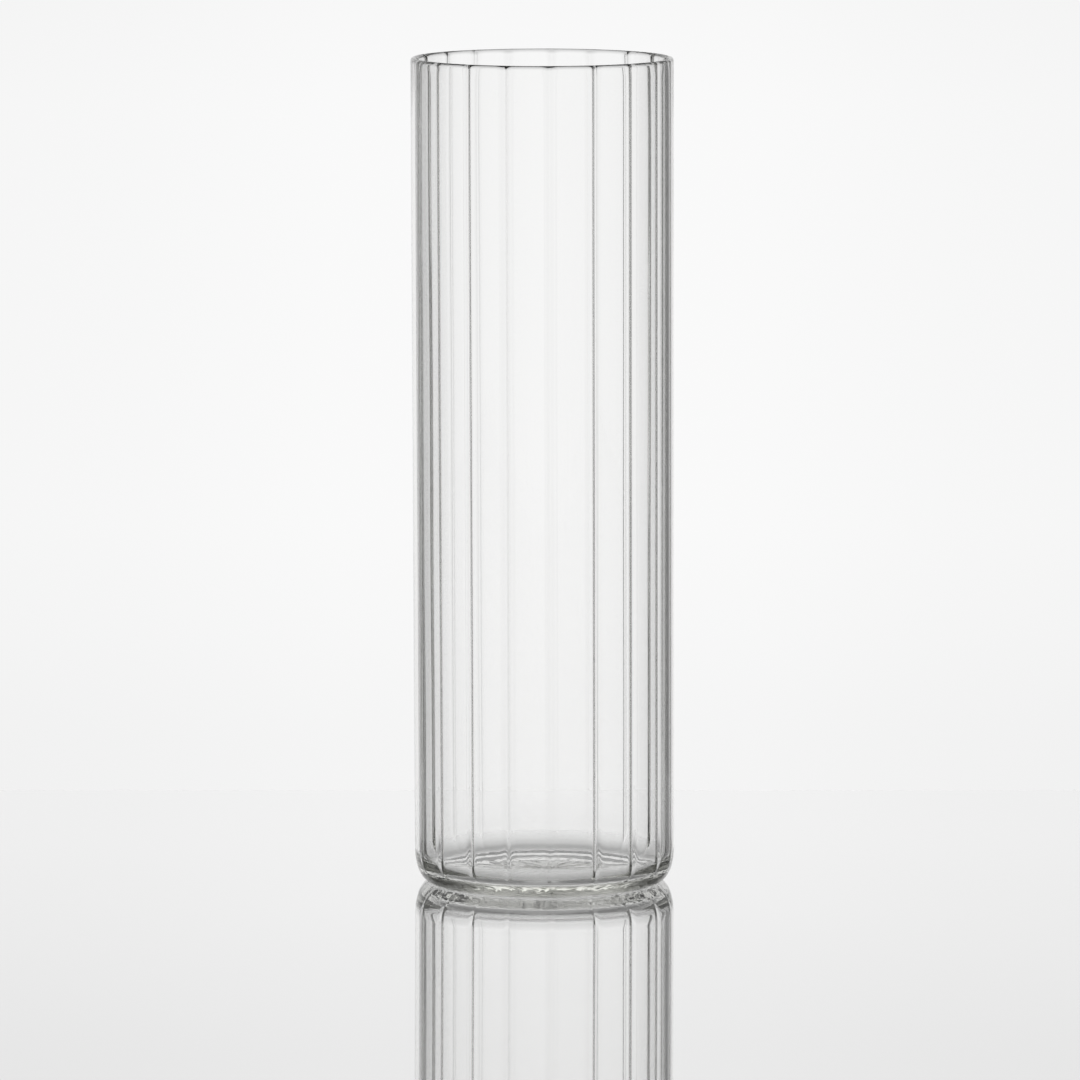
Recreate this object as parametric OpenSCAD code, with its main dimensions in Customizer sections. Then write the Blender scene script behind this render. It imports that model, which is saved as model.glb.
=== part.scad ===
// Mouth-blown glass cylinder vase with upright ribs down the inside of its wall.
// It is one piece of glass, drawn as the five zones that a glassmaker names:
// lip, wall, ribs, heel and base. The zones meet face to face.
// The origin is at the middle of the underside, on the table. +Z is up and -Y is the front.

/* [Overall] */
// Height from the table to the crown of the lip
vase_h = 300; // [240:5:400]
// Outside diameter of the straight wall
vase_d = 95; // [80:1:130]

/* [Wall] */
// Thickness of the wall between two ribs
wall_t = 2.4; // [1.8:0.1:4]

/* [Ribs] */
// Number of upright ribs round the inside
rib_count = 19; // [8:1:24]
// How far a rib stands out of the inner wall
rib_h = 1.2; // [0.6:0.1:1.8]
// Width of a rib where it leaves the inner wall
rib_w = 4.4; // [2:0.2:5]
// Turn of the first rib from the front, towards +X, in degrees
rib_turn = 4.5; // [0:0.5:20]
// Most that a rib strays from even spacing, in degrees: they stand wider apart at the front
rib_stray = 3.5; // [0:0.5:5]

/* [Heel and base] */
// Thickness of the glass under the edge of the inside floor
base_t = 5; // [3.8:0.2:5.4]
// Height at which the outside starts to turn in towards the foot
heel_h = 13; // [13:0.5:16]
// How far the outside turns in before it meets the table
heel_in = 6.5; // [4:0.5:9]
// How far the inside floor is rounded up into the wall
floor_round = 6.5; // [2:0.5:9]
// How high that rounding reaches above the floor
floor_rise = 7.5; // [3:0.5:7.5]
// How much lower the inside floor is at its middle
dish = 0.5; // [0:0.1:1]
// Width of the flat ring that the vase stands on
foot_w = 2; // [1:0.5:5]
// Rise of the underside at its middle
push_up = 1.6; // [0.6:0.1:2]

/* [Hidden] */
$fn = 120;
rib_fn = 360; // a rib is thin, so the round wall that trims it is drawn finely
arc_step = 6; // degrees between the points of an outline's curves

outer_r = vase_d / 2;
inner_r = outer_r - wall_t;
lip_r = wall_t / 2;
wall_top = vase_h - lip_r;
foot_r = outer_r - heel_in - foot_w; // inside of the ring that the vase stands on
floor_r = inner_r - floor_round; // edge of the inside floor
base_r = min(foot_r, floor_r); // where heel and base meet
rib_pitch = 360 / rib_count;
run_out = 2 * rib_h; // height in which the top of a rib curves back into the wall
rod_r = (rib_h * rib_h + rib_w * rib_w / 4) / (2 * rib_h); // a rib is a rod sunk in the wall
dome_steps = 12;
dome_power = 1.8; // 1 is a cone, 2 is round, more is level in the middle
heel_power = 2.2; // 2 turns in as an ellipse, more is squarer
floor_power = 2.2;

// A quarter turn that leaves a wall of radius r at height top, and ends level at height bottom.
function turn_in(r, wide, top, bottom, power) =
    [for (a = [0 : arc_step : 90])
        [r - wide + wide * pow(cos(a), 2 / power), top - (top - bottom) * pow(sin(a), 2 / power)]];

function heel_outside() = turn_in(outer_r, heel_in, heel_h, 0, heel_power);
function heel_inside() = concat(
    [[inner_r, heel_h]],
    turn_in(inner_r, floor_round, base_t + floor_rise, base_t, floor_power));
function reversed(points) = [for (i = [len(points) - 1 : -1 : 0]) points[i]];

// Height of the underside and of the inside floor at radius r.
function dome_z(r) = push_up * (1 - pow(r / foot_r, dome_power));
function floor_z(r) = base_t - dish * (1 - pow(r / floor_r, 2));

// The half-round edge of the mouth.
module lip() {
    color("#e9eeec")
    rotate_extrude()
    translate([outer_r - lip_r, wall_top])
    intersection() {
        circle(r = lip_r);
        translate([-lip_r, 0]) square([wall_t, lip_r]);
    }
}

// The straight tube between the heel and the lip.
module wall() {
    color("#f0f3f2")
    translate([0, 0, heel_h])
    difference() {
        cylinder(r = outer_r, h = wall_top - heel_h);
        translate([0, 0, -1]) cylinder(r = inner_r, h = wall_top - heel_h + 2);
    }
}

// The turn of rib i from the front, towards +X.
function rib_angle(i) = rib_turn + i * rib_pitch + rib_stray * sin(rib_turn + i * rib_pitch);

// One rib as a whole rod, before the wall and the floor trim it.
module rib_rod() {
    translate([inner_r - rib_h + rod_r, 0, base_t])
    cylinder(r = rod_r, h = wall_top - base_t, $fn = rib_fn);
}

// The space inside the wall that the ribs may fill, rounded at the floor and run out at the top.
module rib_space() {
    rotate_extrude($fn = rib_fn)
    difference() {
        polygon(concat(
            [[inner_r - floor_round, wall_top], [inner_r, wall_top]],
            heel_inside()));
        translate([inner_r - run_out, wall_top - run_out])
        difference() {
            square(run_out);
            translate([run_out, 0]) circle(r = run_out);
        }
    }
}

// The ribs, each a separate solid against the wall.
module ribs() {
    color("#d3dad7")
    for (i = [0 : rib_count - 1])
        intersection() {
            rotate(rib_angle(i) - 90) rib_rod();
            rib_space();
        }
}

// The rounded bottom corner, with the flat ring that stands on the table.
module heel() {
    color("#dfe6e3")
    rotate_extrude()
    polygon(concat(
        heel_outside(),
        [[foot_r, 0]],
        base_r < foot_r ? [[base_r, dome_z(base_r)]] : [],
        base_r < floor_r ? [[base_r, floor_z(base_r)]] : [],
        reversed(heel_inside())));
}

// The round bottom, pushed up a little underneath.
module base() {
    color("#c9d2ce")
    rotate_extrude()
    polygon(concat(
        [for (i = [0 : dome_steps]) [base_r * i / dome_steps, dome_z(base_r * i / dome_steps)]],
        [for (i = [dome_steps : -1 : 0]) [base_r * i / dome_steps, floor_z(base_r * i / dome_steps)]]));
}

lip();
wall();
ribs();
heel();
base();
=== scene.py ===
import math

import bmesh
import bpy
from mathutils import Matrix, Vector


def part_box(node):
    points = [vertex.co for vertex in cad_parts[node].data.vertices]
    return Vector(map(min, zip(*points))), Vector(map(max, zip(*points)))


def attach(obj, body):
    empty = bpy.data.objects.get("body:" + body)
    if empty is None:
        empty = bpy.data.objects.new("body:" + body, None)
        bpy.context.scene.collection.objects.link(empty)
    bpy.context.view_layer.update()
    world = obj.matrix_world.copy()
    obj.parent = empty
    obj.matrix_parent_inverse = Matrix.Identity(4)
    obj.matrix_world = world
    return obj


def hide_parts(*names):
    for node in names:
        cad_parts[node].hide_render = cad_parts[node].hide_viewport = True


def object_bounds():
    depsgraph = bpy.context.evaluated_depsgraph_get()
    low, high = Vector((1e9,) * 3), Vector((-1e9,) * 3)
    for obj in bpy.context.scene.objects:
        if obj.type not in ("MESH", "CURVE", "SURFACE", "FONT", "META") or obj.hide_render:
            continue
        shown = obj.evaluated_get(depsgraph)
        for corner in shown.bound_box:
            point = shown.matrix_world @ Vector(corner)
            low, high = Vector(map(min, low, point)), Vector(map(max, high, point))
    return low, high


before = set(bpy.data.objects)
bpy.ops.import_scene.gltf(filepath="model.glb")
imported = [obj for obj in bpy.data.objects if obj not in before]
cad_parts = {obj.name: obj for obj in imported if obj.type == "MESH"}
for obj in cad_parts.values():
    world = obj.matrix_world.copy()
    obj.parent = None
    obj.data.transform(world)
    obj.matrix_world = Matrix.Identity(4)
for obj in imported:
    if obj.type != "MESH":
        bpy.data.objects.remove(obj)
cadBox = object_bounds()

mm = 0.001
scene = bpy.context.scene
joinWithin = 0.002 * mm  # points closer than this are one
print("frame loaded:", ", ".join(sorted(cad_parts)))

# sizes that every part shares, read from the frame
foot = cadBox[0].z
rim = cadBox[1].z
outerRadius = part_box("wall")[1].x
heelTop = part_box("heel")[1].z
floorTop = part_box("base")[1].z
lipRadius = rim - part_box("lip")[0].z
wallThickness = 2 * lipRadius


def linear(hexColour):
    # sRGB hex to the linear colour that a socket takes
    parts = [int(hexColour[i:i + 2], 16) / 255 for i in (1, 3, 5)]
    return [p / 12.92 if p <= 0.04045 else ((p + 0.055) / 1.055) ** 2.4 for p in parts] + [1.0]


def add(tree, kind, inputs=(), out=0, **settings):
    # one node: its settings, then each input as a link or a value, by name or by place
    made = tree.nodes.new(kind)
    for name, value in settings.items():
        setattr(made, name, value)
    pairs = inputs.items() if isinstance(inputs, dict) else enumerate(inputs)
    for place, value in pairs:
        if isinstance(value, bpy.types.NodeSocket):
            tree.links.new(value, made.inputs[place])
        elif value is not None:
            made.inputs[place].default_value = value
    return made.outputs[out]


# the camera stands well back with a long lens, a little above the mouth
cameraAt = {
    "place": (-0.0012, -3.08, 0.510),
    "tiltDown": 7.13,  # degrees
    "lens": 285.3,  # mm
}


def makeCamera(at):
    data = bpy.data.cameras.new("camera")
    data.lens = at["lens"]
    data.clip_start, data.clip_end = 0.1, 100
    camera = bpy.data.objects.new("camera", data)
    camera.location = at["place"]
    camera.rotation_euler = (math.radians(90 - at["tiltDown"]), 0, 0)
    scene.collection.objects.link(camera)
    scene.camera = camera


makeCamera(cameraAt)
print("camera placed")

# the vase: its outline, ribs and the marks that the making leaves
vaseSize = {
    "heelIn": 6.5 * mm,  # how far the outside turns in to the foot
    "heelPower": 2.2,  # 2 turns in as an ellipse, more is squarer
    "floorRound": 6.5 * mm,  # rounding between the wall and the inside floor, and its height
    "floorRise": 7.5 * mm,
    "cornerPower": 2.2,
    "thicker": 0.35 * mm,  # the wall is this much thicker at the heel than at the mouth
    "dish": 0.5 * mm,  # the inside floor is this much lower at its middle
    "footWidth": 2.0 * mm,  # of the flat ring that the vase stands on
    "pushUp": 1.6 * mm,  # rise of the underside at its middle
    "domePower": 1.8,  # 1 is a cone, 2 is round, more is level in the middle
    # where each rib stands, in degrees round from the front towards +X, then how tall and how wide it is beside
    # the others: each pulled out a little differently as the glass was blown
    "ribPlan": [(3.2, 0.40, 1.21), (24.4, 1.43, 1.0), (44.3, 0.99, 1.19), (63.2, 1.06, 0.99), (80.2, 0.95, 1.01),
                (100.0, 0.83, 0.97), (117.7, 1.05, 1.02), (136.6, 1.02, 1.04), (157.2, 0.60, 1.1),
                (175.5, 0.45, 1.1), (195.9, 0.50, 1.1), (212.8, 0.99, 1.1), (229.5, 0.67, 0.98),
                (248.9, 0.9, 1.04), (266.6, 1.04, 1.16), (286.3, 0.87, 0.97), (305.0, 0.93, 1.04),
                (324.5, 0.99, 1.01), (342.9, 0.74, 1.23)],
    "stepsPerRib": 46,
    "mouthDrop": 1.4 * mm,  # how far down the inside of the lip is rounded
    "mouthPower": 2.0,
    "mouthScallop": 0.45 * mm,  # and how much further down at each rib, where there is more glass to melt
    "scallopFade": 5 * mm,  # the scallops are gone this far below the rim
    "scallopIn": 0.3,  # how far they push inwards beside how far they push down
    "crestHeight": 0.80 * mm,  # a rib stands this proud of the wall
    "crestReach": 0.83 * mm,  # and is about four times this wide at its foot
    "crestPower": 1.7,
    "closeStrip": 3.0 * mm,  # each side of a rib, the points stand closest here
    "closeShare": 0.75,  # and this share of them is used for it
    "ribInCorner": 0.1,  # this share of a rib is left where the corner meets the floor
    "ribInFloor": (30 * mm, 38 * mm),  # and it dies away in the floor between these radii
    "ribScatter": 0.12 * mm,  # how far a rib wanders on its way up
    "scatterRun": 9.0,  # cells of noise that it wanders through in a metre
    "scatterStep": 7.31,  # cells between one rib's noise and the next one's
    "taper": 0.25 * mm,  # the wall is this much narrower at the heel than at the mouth
    "lean": 0.003,  # sideways over height: no blown vase stands quite upright
    "undulation": 0.05 * mm,  # slow waves of the hand-blown wall
    "waveCells": 1.1,  # radius of the circle that their noise is read from, in its own cells
    "waveRun": 14.0,  # cells in a metre up the wall
    "waveInFloor": 20 * mm,  # they die away inside this radius
    "creaseDepth": 1.0 * mm,  # a star of fine radial creases in the inside floor
    "creaseCells": 7.0,  # radius of the circle that the creases' noise is read from, in its own cells
    "creaseRun": 70.0,  # cells that it changes through in a metre along the radius
    "creaseStart": 3 * mm,  # they rise to their full depth from the axis to this radius
    "creaseFaint": 0.25,  # they fade to this share of it between the next two radii
    "creaseFade": (14 * mm, 32 * mm),
    "creaseEnd": (34 * mm, 43 * mm),  # and are gone between these two
    "chillDepth": 0.30 * mm,  # crinkles that the cold mould left round the foot
    "chillCells": 9.0,
    "chillRun": 520.0,
    "chillStart": (28 * mm, 38 * mm),  # they rise between these radii
    "chillTop": 2 * mm,  # and are gone this far up the heel
    "seed": 7,
}


def turnIn(wall, wide, top, bottom, power, steps):
    # a quarter turn that leaves the wall at height top and ends level at height bottom, without its last point;
    # power 2 is an ellipse, more is squarer and less is flatter
    angles = [math.pi / 2 * i / steps for i in range(steps)]
    return [(wall - wide + wide * math.cos(a) ** (2 / power), top - (top - bottom) * math.sin(a) ** (2 / power))
            for a in angles]


def line(start, end, steps):
    # points along a line, without its last point
    return [tuple(a + (b - a) * i / steps for a, b in zip(start, end)) for i in range(steps)]


def smooth(low, high, value):
    share = min(max((value - low) / (high - low), 0), 1)
    return share * share * (3 - 2 * share)


def vaseOutline(size):
    # half of the section: up the outside from the middle of the underside, and back down the inside
    inner = outerRadius - wallThickness
    thick = inner - size["thicker"]
    contact = outerRadius - size["heelIn"]
    ringInside = contact - size["footWidth"]
    floorEdge = thick - size["floorRound"]
    lipBase = rim - lipRadius
    cornerTop = floorTop + size["floorRise"]
    under = []
    for i in range(10):
        r = ringInside * (i / 10) ** 0.75  # the points stand closer towards the ring
        under.append((r, size["pushUp"] * (1 - (r / ringInside) ** size["domePower"])))
    ring = line((ringInside, foot), (contact, foot), 3) + [(contact, foot)]
    heel = turnIn(outerRadius, size["heelIn"], heelTop, foot, size["heelPower"], 12)[::-1]
    outside = line((outerRadius, heelTop), (outerRadius, lipBase), 12)[1:]
    across = outerRadius - lipRadius
    quarter = [math.pi / 2 * i / 8 for i in range(8)]
    lip = [(across + lipRadius * math.cos(a), lipBase + lipRadius * math.sin(a)) for a in quarter]
    lip += [(across - lipRadius * math.sin(a) ** (2 / size["mouthPower"]),
             rim - size["mouthDrop"] * (1 - math.cos(a) ** (2 / size["mouthPower"]))) for a in quarter]
    top = rim - size["mouthDrop"]
    inside = line((inner, top), (inner, top - 4 * mm), 4) + line((inner, top - 4 * mm), (thick, cornerTop), 14)
    corner = turnIn(thick, size["floorRound"], cornerTop, floorTop, size["cornerPower"], 14)
    floor = []
    for i in range(27):
        r = floorEdge * (1 - i / 26) ** 1.1  # and on the floor closer towards the middle
        floor.append((r, floorTop - size["dish"] * (1 - (r / floorEdge) ** 2)))
    return {"under": under, "ring": ring, "heel": heel, "outside": outside, "lip": lip,
            "inside": inside, "corner": corner, "floor": floor}


def outlineMesh(size):
    # the outline as a chain of points that carry where each mark of the making is strong
    rows = []
    for zone, points in vaseOutline(size).items():
        for r, z in points:
            rib = 1.0 if zone in ("inside", "corner") else 0.0
            mouth = 0.0
            crease, chill, wave = 0.0, 0.0, 1.0
            if zone == "lip":
                rib = smooth(outerRadius - lipRadius, outerRadius - wallThickness, r)
                mouth = rib
            if zone == "corner":
                least = size["ribInCorner"]
                rib = least + (1 - least) * smooth(floorTop, floorTop + size["floorRise"], z)
            if zone == "inside":
                mouth = smooth(rim - size["scallopFade"], rim - size["mouthDrop"], z)
            if zone in ("under", "ring", "heel"):
                chill = smooth(*size["chillStart"], r) * smooth(size["chillTop"], 0, z if zone == "heel" else 0)
                wave = smooth(1 * mm, heelTop, z) if zone == "heel" else 0.0
            if zone == "floor":
                wave = smooth(0, size["waveInFloor"], r)
                rib = size["ribInCorner"] * smooth(*size["ribInFloor"], r)
                # the star is strong in the middle, weaker further out, and gone at the edge of the floor
                fade, end = size["creaseFade"], size["creaseEnd"]
                star = size["creaseFaint"] + (1 - size["creaseFaint"]) * smooth(fade[1], fade[0], r)
                crease = smooth(0, size["creaseStart"], r) * star * smooth(end[1], end[0], r)
            rows.append((r, z, zone, rib, mouth, (crease, chill, wave)))
    mesh = bpy.data.meshes.new("vaseOutline")
    count = len(rows)
    mesh.from_pydata([(row[0], 0, row[1]) for row in rows], [(i, i + 1) for i in range(count - 1)], [])
    for name in ("outwards", "ribWay", "mouthWay", "marks"):
        mesh.attributes.new(name, "FLOAT_VECTOR", "POINT")
    carried = mesh.attributes
    for i, (r, z, zone, rib, mouth, marks) in enumerate(rows):
        before, after = rows[max(i - 1, 0)], rows[min(i + 1, count - 1)]
        along = Vector((after[0] - before[0], 0, after[1] - before[1])).normalized()
        outwards = Vector((along.z, 0, -along.x))
        carried["outwards"].data[i].vector = outwards
        carried["ribWay"].data[i].vector = rib * (outwards if zone in ("corner", "floor") else Vector((-1, 0, 0)))
        carried["mouthWay"].data[i].vector = mouth * Vector((-size["scallopIn"], 0, -1))
        carried["marks"].data[i].vector = marks
    return mesh


def planMesh(plan):
    # a point for each rib: x is its turn, y how tall and z how wide it is; the ends overlap to close the round
    count = len(plan)
    points = []
    for i in range(-1, count + 2):
        turn, tall, broad = plan[i % count]
        points.append((math.radians(turn + 360 * (i // count) - 90), tall, broad))
    mesh = bpy.data.meshes.new("ribPlan")
    mesh.from_pydata(points, [], [])
    return mesh


def vaseTree(size, material):
    # spins the outline round the axis, and presses the ribs, waves, creases and crinkles into it
    tree = bpy.data.node_groups.new("ribbedVase", "GeometryNodeTree")
    face = tree.interface
    face.new_socket("Outline", in_out="INPUT", socket_type="NodeSocketGeometry")
    kinds = {"ribPlan": "NodeSocketObject", "stepsPerRib": "NodeSocketInt", "seed": "NodeSocketInt"}
    inputNames = ["ribPlan", "stepsPerRib", "crestHeight", "crestReach", "crestPower", "closeStrip", "closeShare",
                  "ribScatter", "scatterRun", "scatterStep", "taper", "lean", "undulation", "waveCells", "waveRun",
                  "creaseDepth", "creaseCells", "creaseRun", "chillDepth", "chillCells", "chillRun",
                  "mouthScallop", "seed"]
    for name in inputNames:
        face.new_socket(name, in_out="INPUT", socket_type=kinds.get(name, "NodeSocketFloat"))
    face.new_socket("Vase", in_out="OUTPUT", socket_type="NodeSocketGeometry")
    given = tree.nodes.new("NodeGroupInput").outputs
    math1 = "ShaderNodeMath"

    # a flat sheet with one column for each step round and one row for each point of the outline
    rows = add(tree, "GeometryNodeAttributeDomainSize", {"Geometry": given["Outline"]}, "Point Count",
               component="MESH")
    plan = add(tree, "GeometryNodeObjectInfo", {"Object": given["ribPlan"]}, "Geometry")
    planned = add(tree, "GeometryNodeAttributeDomainSize", {"Geometry": plan}, "Point Count", component="MESH")
    ribCount = add(tree, math1, [planned, 3], operation="SUBTRACT")
    around = add(tree, math1, [ribCount, given["stepsPerRib"]], operation="MULTIPLY")
    columns = add(tree, math1, [around, 1], operation="ADD")
    sheet = add(tree, "GeometryNodeMeshGrid", {"Size X": 1.0, "Size Y": 1.0, "Vertices X": columns,
                                               "Vertices Y": rows})
    place = tree.nodes.new("ShaderNodeSeparateXYZ")
    tree.links.new(add(tree, "GeometryNodeInputPosition"), place.inputs[0])
    share = add(tree, math1, [place.outputs["X"], 0.5], operation="ADD")
    rise = add(tree, math1, [place.outputs["Y"], 0.5], operation="ADD")
    lastRow = add(tree, math1, [rows, 1], operation="SUBTRACT")
    row = add(tree, math1, [add(tree, math1, [rise, lastRow], operation="MULTIPLY")], operation="ROUND")

    # what the outline holds at this row
    found = {}
    for name in ("position", "outwards", "ribWay", "mouthWay", "marks"):
        value = add(tree, "GeometryNodeInputNamedAttribute", {"Name": name}, data_type="FLOAT_VECTOR")
        found[name] = add(tree, "GeometryNodeSampleIndex", data_type="FLOAT_VECTOR",
                          inputs={"Geometry": given["Outline"], "Value": value, "Index": row})
    spot = tree.nodes.new("ShaderNodeSeparateXYZ")
    tree.links.new(found["position"], spot.inputs[0])
    radius, height = spot.outputs["X"], spot.outputs["Z"]
    mark = tree.nodes.new("ShaderNodeSeparateXYZ")
    tree.links.new(found["marks"], mark.inputs[0])
    creaseShare, chillShare, waveShare = (mark.outputs[axis] for axis in "XYZ")

    # the rib that is nearest, and how far round from it this column stands
    pitches = add(tree, math1, [share, ribCount], operation="MULTIPLY")
    nearest = add(tree, math1, [pitches], operation="ROUND")
    off = add(tree, math1, [pitches, nearest], operation="SUBTRACT")
    side = add(tree, math1, [off], operation="SIGN")
    halves = add(tree, math1, [add(tree, math1, [off], operation="ABSOLUTE"), 2], operation="MULTIPLY")
    here, beside = [tree.nodes.new("ShaderNodeSeparateXYZ") for _ in range(2)]
    for separated, extra in ((here, 1), (beside, add(tree, math1, [side, 1], operation="ADD"))):
        index = add(tree, math1, [nearest, extra], operation="ADD")
        point = add(tree, "GeometryNodeSampleIndex", data_type="FLOAT_VECTOR", inputs={
            "Geometry": plan, "Value": add(tree, "GeometryNodeInputPosition"), "Index": index})
        tree.links.new(point, separated.inputs[0])
    apart = add(tree, math1, [beside.outputs["X"], here.outputs["X"]], operation="SUBTRACT")
    halfGap = add(tree, math1, [add(tree, math1, [apart], operation="ABSOLUTE"), 0.5], operation="MULTIPLY")
    closeAngle = add(tree, math1, [given["closeStrip"], outerRadius - wallThickness], operation="DIVIDE")
    openAngle = add(tree, math1, [halfGap, closeAngle], operation="SUBTRACT")
    closePart = add(tree, math1, [halves, given["closeShare"]], operation="DIVIDE", use_clamp=True)
    openPart = add(tree, "ShaderNodeMapRange", {"Value": halves, "From Min": given["closeShare"]})
    closeTurn = add(tree, math1, [closePart, closeAngle], operation="MULTIPLY")
    turnOff = add(tree, math1, [openPart, openAngle, closeTurn], operation="MULTIPLY_ADD")
    signedTurn = add(tree, math1, [turnOff, side], operation="MULTIPLY")
    angle = add(tree, math1, [here.outputs["X"], signedTurn], operation="ADD")
    across = add(tree, math1, [angle], operation="COSINE")
    deep = add(tree, math1, [angle], operation="SINE")
    direction = add(tree, "ShaderNodeCombineXYZ", [across, deep, 0])

    # a rib wanders a little on its way up the wall
    ribNumber = add(tree, math1, [nearest, ribCount], operation="MODULO")
    ribKey = add(tree, math1, [ribNumber, given["scatterStep"], given["seed"]], operation="MULTIPLY_ADD")
    upRib = add(tree, math1, [height, given["scatterRun"]], operation="MULTIPLY")
    wanderSpot = add(tree, "ShaderNodeCombineXYZ", [ribKey, upRib, 0])
    wander = add(tree, "ShaderNodeTexNoise", {"Vector": wanderSpot, "Scale": 1.0, "Detail": 1.0}, "Fac")
    swing = add(tree, math1, [wander, 2, -1], operation="MULTIPLY_ADD")
    aside = add(tree, math1, [swing, given["ribScatter"]], operation="MULTIPLY")

    # the rib's section: a soft round crest that runs out into the wall
    arcPlace = add(tree, math1, [signedTurn, radius], operation="MULTIPLY")
    fromLine = add(tree, math1, [add(tree, math1, [arcPlace, aside], operation="SUBTRACT")], operation="ABSOLUTE")
    fromCrest = add(tree, math1, [fromLine, here.outputs["Z"]], operation="DIVIDE")
    reached = add(tree, math1, [fromCrest, given["crestReach"]], operation="DIVIDE")
    falling = add(tree, math1, [add(tree, math1, [reached, given["crestPower"]], operation="POWER"), -1],
                  operation="MULTIPLY")
    crest = add(tree, math1, [add(tree, math1, [falling], operation="EXPONENT"), given["crestHeight"]],
                operation="MULTIPLY")
    ribPush = add(tree, math1, [crest, here.outputs["Y"]], operation="MULTIPLY")
    ribMove = add(tree, "ShaderNodeVectorMath", {0: found["ribWay"], "Scale": ribPush}, operation="SCALE")

    # round the mouth the glass melts down further at the ribs than between them, in one even wave
    swingRound = add(tree, math1, [add(tree, math1, [off, math.tau], operation="MULTIPLY")], operation="COSINE")
    scallop = add(tree, math1, [swingRound, 0.5, 0.5], operation="MULTIPLY_ADD")
    mouthPush = add(tree, math1, [scallop, given["mouthScallop"]], operation="MULTIPLY")
    mouthMove = add(tree, "ShaderNodeVectorMath", {0: found["mouthWay"], "Scale": mouthPush}, operation="SCALE")

    # radial creases: noise that runs round a circle changes fast around and slowly along the radius
    circle = add(tree, "ShaderNodeVectorMath", {0: direction, "Scale": given["creaseCells"]}, operation="SCALE")
    creaseWay = add(tree, math1, [radius, given["creaseRun"]], operation="MULTIPLY")
    slowOut = add(tree, "ShaderNodeCombineXYZ", [0, 0, creaseWay])
    creaseSpot = add(tree, "ShaderNodeVectorMath", [circle, slowOut], operation="ADD")
    creaseNoise = add(tree, "ShaderNodeTexNoise", {"Vector": creaseSpot, "Scale": 1.0, "Detail": 2.0}, "Fac")
    creaseEven = add(tree, math1, [creaseNoise, 2, -1], operation="MULTIPLY_ADD")
    creaseFold = add(tree, math1, [creaseEven], operation="ABSOLUTE")
    creasePush = add(tree, math1, [creaseFold, add(tree, math1, [creaseShare, given["creaseDepth"]],
                                                   operation="MULTIPLY")], operation="MULTIPLY")

    # crinkles round the foot: short waves that follow the ring
    ringed = add(tree, "ShaderNodeVectorMath", {0: direction, "Scale": given["chillCells"]}, operation="SCALE")
    outDown = add(tree, math1, [radius, height], operation="SUBTRACT")
    chillWay = add(tree, math1, [outDown, given["chillRun"]], operation="MULTIPLY")
    quickOut = add(tree, "ShaderNodeCombineXYZ", [0, 0, chillWay])
    chillSpot = add(tree, "ShaderNodeVectorMath", [ringed, quickOut], operation="ADD")
    chillNoise = add(tree, "ShaderNodeTexNoise", {"Vector": chillSpot, "Scale": 1.0, "Detail": 3.0}, "Fac")
    chillEven = add(tree, math1, [chillNoise, 2, -1], operation="MULTIPLY_ADD")
    chillPush = add(tree, math1, [chillEven, add(tree, math1, [chillShare, given["chillDepth"]],
                                                 operation="MULTIPLY")], operation="MULTIPLY")

    # slow waves in the thickness of the wall, different inside and outside
    waveRound = add(tree, "ShaderNodeVectorMath", {0: direction, "Scale": given["waveCells"]}, operation="SCALE")
    waveUp = add(tree, math1, [height, given["waveRun"], rise], operation="MULTIPLY_ADD")
    waveAlong = add(tree, "ShaderNodeCombineXYZ", [0, 0, waveUp])
    waveSpot = add(tree, "ShaderNodeVectorMath", [waveRound, waveAlong], operation="ADD")
    waveNoise = add(tree, "ShaderNodeTexNoise", {"Vector": waveSpot, "Scale": 1.0, "Detail": 1.0}, "Fac")
    waveEven = add(tree, math1, [waveNoise, 2, -2], operation="MULTIPLY_ADD")
    wavePush = add(tree, math1, [waveEven, add(tree, math1, [waveShare, given["undulation"]],
                                               operation="MULTIPLY")], operation="MULTIPLY")

    # glass is only ever taken away, so the vase keeps its outer size
    marksIn = add(tree, math1, [creasePush, add(tree, math1, [chillPush], operation="ABSOLUTE")], operation="ADD")
    pushed = add(tree, math1, [wavePush, marksIn], operation="SUBTRACT")
    move = add(tree, "ShaderNodeVectorMath", {0: found["outwards"], "Scale": pushed}, operation="SCALE")
    ribbed = add(tree, "ShaderNodeVectorMath", [found["position"], ribMove], operation="ADD")
    melted = add(tree, "ShaderNodeVectorMath", [ribbed, mouthMove], operation="ADD")
    shaped = add(tree, "ShaderNodeVectorMath", [melted, move], operation="ADD")
    parts = tree.nodes.new("ShaderNodeSeparateXYZ")
    tree.links.new(shaped, parts.inputs[0])
    low = add(tree, math1, [1, add(tree, math1, [height, rim], operation="DIVIDE")], operation="SUBTRACT")
    draft = add(tree, math1, [low, add(tree, math1, [given["taper"], outerRadius], operation="DIVIDE")],
                operation="MULTIPLY")
    narrowed = add(tree, math1, [parts.outputs["X"], add(tree, math1, [1, draft], operation="SUBTRACT")],
                   operation="MULTIPLY")
    spun = add(tree, "ShaderNodeVectorMath", {0: direction, "Scale": narrowed}, operation="SCALE")
    leaning = add(tree, math1, [add(tree, math1, [rim / 2, height], operation="SUBTRACT"), given["lean"]],
                  operation="MULTIPLY")
    lifted = add(tree, "ShaderNodeCombineXYZ", [leaning, 0, parts.outputs["Z"]])
    final = add(tree, "ShaderNodeVectorMath", [spun, lifted], operation="ADD")

    wrapped = add(tree, "GeometryNodeSetPosition", {"Geometry": sheet, "Position": final})
    closed = add(tree, "GeometryNodeMergeByDistance", {"Geometry": wrapped, "Distance": joinWithin})
    soft = add(tree, "GeometryNodeSetShadeSmooth", {"Geometry": closed, "Shade Smooth": True})
    real = add(tree, "GeometryNodeRealizeInstances", {"Geometry": soft})
    done = add(tree, "GeometryNodeSetMaterial", {"Geometry": real, "Material": material})
    tree.links.new(done, tree.nodes.new("NodeGroupOutput").inputs[0])
    return tree, inputNames


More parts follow.
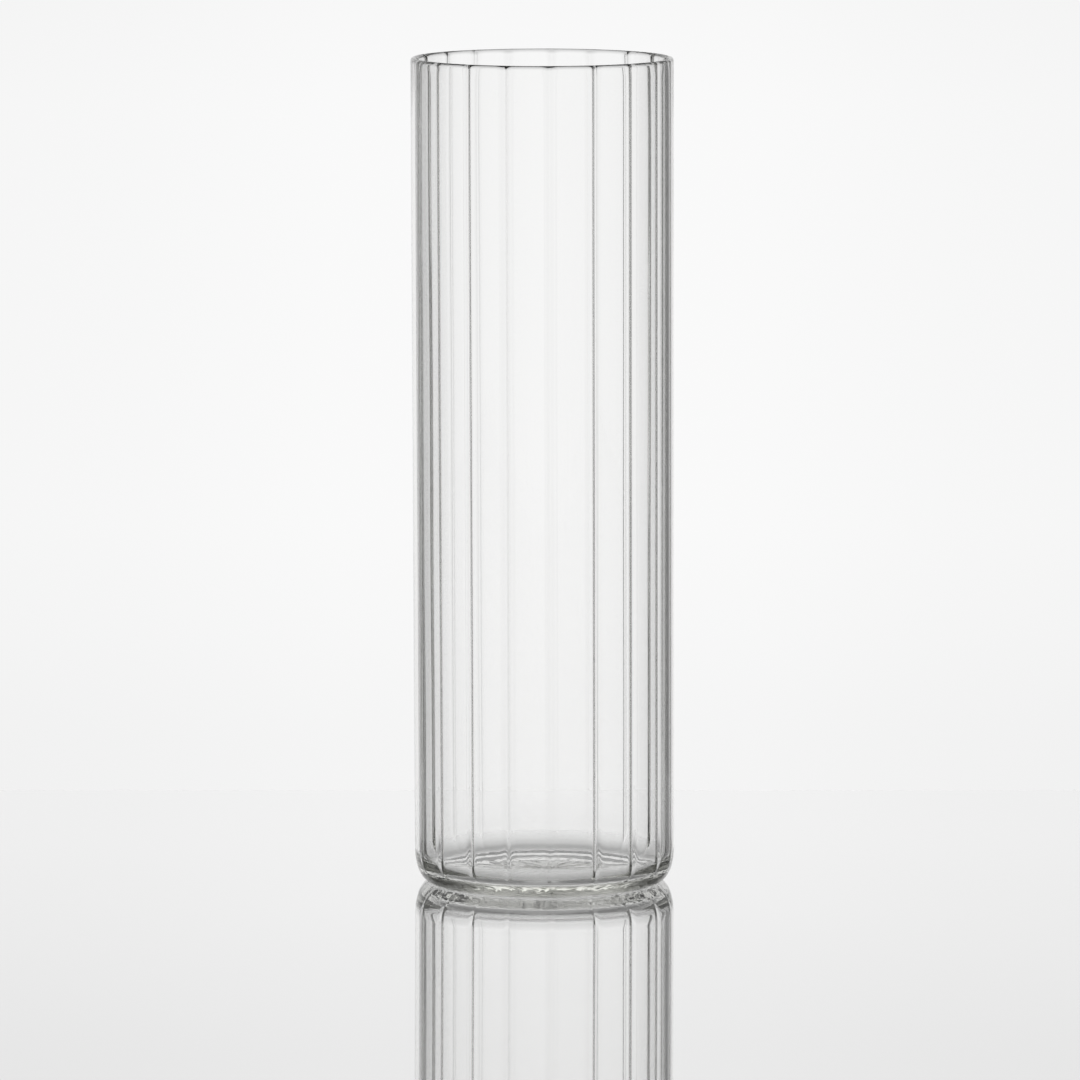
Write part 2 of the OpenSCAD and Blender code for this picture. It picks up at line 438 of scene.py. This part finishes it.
def makeVase(size, material):
    tree, inputNames = vaseTree(size, material)
    source = bpy.data.objects.new("vaseSource", outlineMesh(size))
    plan = bpy.data.objects.new("ribPlan", planMesh(size["ribPlan"]))
    scene.collection.objects.link(source)
    scene.collection.objects.link(plan)
    modifier = source.modifiers.new("ribbedVase", "NODES")
    modifier.node_group = tree
    sockets = {item.name: item.identifier for item in tree.interface.items_tree if item.in_out == "INPUT"}
    for name in inputNames:
        modifier[sockets[name]] = plan if name == "ribPlan" else size[name]
    mesh = bpy.data.meshes.new_from_object(source.evaluated_get(bpy.context.evaluated_depsgraph_get()))
    mesh.name = "ribbed_vase"
    bpy.data.objects.remove(source)
    bpy.data.objects.remove(plan)
    shell = bmesh.new()
    shell.from_mesh(mesh)
    bmesh.ops.recalc_face_normals(shell, faces=shell.faces)
    openEdges = sum(1 for edge in shell.edges if len(edge.link_faces) != 2)
    print("vase:", len(shell.faces), "faces,", openEdges, "open edges,",
          round(shell.calc_volume(signed=True) * 1e6, 1), "cm3")
    shell.to_mesh(mesh)
    shell.free()
    vase = bpy.data.objects.new("ribbed_vase", mesh)
    scene.collection.objects.link(vase)
    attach(vase, "root")
    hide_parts("lip", "wall", "ribs", "heel", "base")
    return vase


# soda-lime glass, blown and fire-polished: clear as water, with faint upright cords from the gathering
glassLook = {
    "tint": "#EFF1DE",  # what a thick piece of it looks like edge on
    "density": 5.0,  # per metre
    "ior": 1.52,
    "smoothest": 0.0,
    "dullest": 0.012,
    "hazeCells": 40.0,  # per metre
    "cordSpacing": 3.0 * mm,
    "cordPull": 0.02,  # cords run up the wall, so the pattern is fifty times longer than it is wide
    "cordDepth": 0.001 * mm,
}


def fireClearGlass(look):
    material = bpy.data.materials.new("firePolishedSodaLimeGlass")
    material.use_nodes = True
    tree = material.node_tree
    tree.nodes.clear()
    place = add(tree, "ShaderNodeTexCoord", out="Object")
    pulled = add(tree, "ShaderNodeMapping", {"Vector": place, "Scale": (1, 1, look["cordPull"])})
    cords = add(tree, "ShaderNodeTexNoise", {"Vector": pulled, "Scale": 1 / look["cordSpacing"], "Detail": 2.0},
                "Fac")
    bump = add(tree, "ShaderNodeBump", {"Height": cords, "Distance": look["cordDepth"], "Strength": 1.0})
    haze = add(tree, "ShaderNodeTexNoise", {"Vector": place, "Scale": look["hazeCells"], "Detail": 4.0}, "Fac")
    rough = add(tree, "ShaderNodeMapRange", {"Value": haze, "From Min": 0.4, "From Max": 0.8,
                                             "To Min": look["smoothest"], "To Max": look["dullest"]})
    glass = tree.nodes.new("ShaderNodeBsdfPrincipled")
    glass.inputs["Base Color"].default_value = (1, 1, 1, 1)
    glass.inputs["Transmission Weight"].default_value = 1.0
    glass.inputs["IOR"].default_value = look["ior"]
    tree.links.new(rough, glass.inputs["Roughness"])
    tree.links.new(bump, glass.inputs["Normal"])
    absorb = add(tree, "ShaderNodeVolumeAbsorption", {"Color": linear(look["tint"]), "Density": look["density"]})
    output = tree.nodes.new("ShaderNodeOutputMaterial")
    tree.links.new(glass.outputs[0], output.inputs["Surface"])
    tree.links.new(absorb, output.inputs["Volume"])
    return material


vase = makeVase(vaseSize, fireClearGlass(glassLook))
print("vase made")

# the table is a glossy white slab whose far edge is close behind the vase
tableSize = {
    "wide": 1.3,
    "front": 1.1,
    "back": 0.215,
    "thick": 25 * mm,
    "edge": 2 * mm,
    "gap": 0.03 * mm,
    "colour": "#FAFAFA",
    "metal": 0.6,
    "ior": 1.5,
    "smoothest": 0.01,
    "dullest": 0.03,
    "wearCells": 30.0,  # per metre
}


def silveredWhite(size):
    # white glass silvered underneath: a clear mirror with a white veil over it
    material = bpy.data.materials.new("silveredWhiteGlass")
    material.use_nodes = True
    tree = material.node_tree
    board = tree.nodes["Principled BSDF"]
    place = add(tree, "ShaderNodeTexCoord", out="Object")
    wear = add(tree, "ShaderNodeTexNoise", {"Vector": place, "Scale": size["wearCells"], "Detail": 5.0}, "Fac")
    rough = add(tree, "ShaderNodeMapRange", {"Value": wear, "From Min": 0.3, "From Max": 0.8,
                                             "To Min": size["smoothest"], "To Max": size["dullest"]})
    tree.links.new(rough, board.inputs["Roughness"])
    board.inputs["Base Color"].default_value = linear(size["colour"])
    board.inputs["Metallic"].default_value = size["metal"]
    board.inputs["IOR"].default_value = size["ior"]
    return material


def makeTable(size):
    board = bmesh.new()
    top = foot - size["gap"]
    bmesh.ops.create_cube(board, size=1, matrix=Matrix.Translation((0, (size["back"] - size["front"]) / 2,
                                                                    top - size["thick"] / 2))
                          @ Matrix.Diagonal((2 * size["wide"], size["front"] + size["back"], size["thick"], 1)))
    bmesh.ops.bevel(board, geom=board.edges[:], offset=size["edge"], segments=4, profile=0.5, affect="EDGES")
    mesh = bpy.data.meshes.new("table")
    board.to_mesh(mesh)
    board.free()
    mesh.materials.append(silveredWhite(size))
    table = bpy.data.objects.new("table", mesh)
    scene.collection.objects.link(table)


makeTable(tableSize)
print("table made")

# the studio: a bright screen behind, dark boards at both sides, which draw the dark lines in the glass, and
# white walls behind the camera
studioLight = {
    # degrees round from straight behind the vase, brightness there; left is negative
    "round": [(-180, 0.80), (-150, 0.76), (-120, 0.62), (-100, 0.70), (-84, 0.56), (-70, 0.14), (-50, 0.11),
              (-38, 0.12), (-33, 0.48), (-28, 0.86), (-20, 0.95), (-7, 0.96), (-3.4, 0.965), (-2.3, 0.985),
              (-1.2, 1.0), (1.2, 1.0), (2.3, 0.985), (3.4, 0.965), (7, 0.96), (18, 0.94), (23, 0.72), (28, 0.25),
              (33, 0.16), (42, 0.11), (58, 0.11), (70, 0.14), (84, 0.50), (100, 0.66), (118, 0.74), (150, 0.74),
              (180, 0.80)],
    # degrees above level, brightness there
    "height": [(-90, 0.5), (-30, 0.7), (-15, 0.84), (-8.8, 0.905), (-8.45, 0.912), (-8.2, 0.918), (-7.87, 0.932),
               (-7.5, 0.941), (-7.15, 0.951), (-3.95, 0.951), (-3.5, 0.938), (0, 0.93), (3, 0.88), (6, 0.95),
               (8.9, 1.10), (9.5, 1.07), (9.9, 1.055), (10.2, 1.035), (10.6, 1.02), (16, 0.96), (22, 0.78),
               (30, 0.48), (45, 0.40), (60, 0.42), (75, 0.46), (90, 0.42)],
}


def makeRamp(tree, share, stops):
    # a ramp through stops of place and colour
    ramp = tree.nodes.new("ShaderNodeValToRGB")
    ramp.color_ramp.interpolation = "EASE"
    made = ramp.color_ramp.elements
    for i, (place, colour) in enumerate(stops):
        stop = made[i] if i < 2 else made.new(1.0)
        stop.position = place
        stop.color = colour
    tree.links.new(share, ramp.inputs[0])
    return ramp.outputs[0]


def makeStudio(light):
    world = bpy.data.worlds.new("studio")
    scene.world = world
    world.use_nodes = True
    tree = world.node_tree
    tree.nodes.clear()
    way = tree.nodes.new("ShaderNodeSeparateXYZ")
    tree.links.new(add(tree, "ShaderNodeTexCoord", out="Generated"), way.inputs[0])
    turn = add(tree, "ShaderNodeMath", [way.outputs["X"], way.outputs["Y"]], operation="ARCTAN2")
    turnShare = add(tree, "ShaderNodeMapRange", {"Value": turn, "From Min": -math.pi, "From Max": math.pi})
    tilt = add(tree, "ShaderNodeMath", [way.outputs["Z"]], operation="ARCSINE")
    lowest, highest = light["height"][0][0], light["height"][-1][0]
    tiltShare = add(tree, "ShaderNodeMapRange", {"Value": tilt, "From Min": math.radians(lowest),
                                                 "From Max": math.radians(highest)})
    sides = makeRamp(tree, turnShare, [((d + 180) / 360, (v, v, v, 1)) for d, v in light["round"]])
    level = makeRamp(tree, tiltShare, [((d - lowest) / (highest - lowest), (v, v, v, 1)) for d, v in light["height"]])
    both = add(tree, "ShaderNodeVectorMath", [sides, level], operation="MULTIPLY")
    background = add(tree, "ShaderNodeBackground", {"Color": both, "Strength": 1.0})
    output = tree.nodes.new("ShaderNodeOutputWorld")
    tree.links.new(background, output.inputs["Surface"])


makeStudio(studioLight)
scene.view_settings.view_transform = "Standard"
scene.cycles.max_bounces = 32
scene.cycles.transmission_bounces = 32
scene.cycles.glossy_bounces = 16
scene.cycles.diffuse_bounces = 4
scene.cycles.caustics_reflective = True
scene.cycles.caustics_refractive = True
scene.cycles.blur_glossy = 0.0
print("studio lit")
